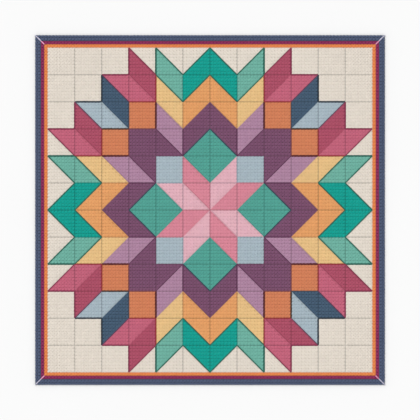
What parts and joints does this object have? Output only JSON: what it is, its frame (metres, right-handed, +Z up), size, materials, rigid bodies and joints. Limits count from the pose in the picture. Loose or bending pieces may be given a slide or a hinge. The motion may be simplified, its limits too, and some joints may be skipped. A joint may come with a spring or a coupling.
{
  "type": "cross stitch quilt",
  "caption": "Square patchwork quilt with a pieced star, cross stitched all over and quilted along its seams, framed by mitred strips and a rolled binding.",
  "frame": {"origin": "centre of the underside, on the surface that the quilt lies on", "axes": "+Z up out of the quilt's face, +X to the right and +Y to the top of the quilt as seen face on"},
  "size_m": [0.9866, 0.9866, 0.0066],
  "materials": {
    "patchwork": "matt cotton, cross stitched in many colours",
    "orange_strip": "matt cotton, cross stitched",
    "crimson_strip": "matt cotton, cross stitched",
    "slate_binding": "matt cotton, cross stitched"
  },
  "bodies": {
    "root": {"patchwork_field": "patchwork", "inner_strip_front": "orange_strip", "inner_strip_right": "orange_strip", "inner_strip_back": "orange_strip", "inner_strip_left": "orange_strip", "middle_strip_front": "crimson_strip", "middle_strip_right": "crimson_strip", "middle_strip_back": "crimson_strip", "middle_strip_left": "crimson_strip", "binding_front": "slate_binding", "binding_right": "slate_binding", "binding_back": "slate_binding", "binding_left": "slate_binding"}
  },
  "joints": []
}
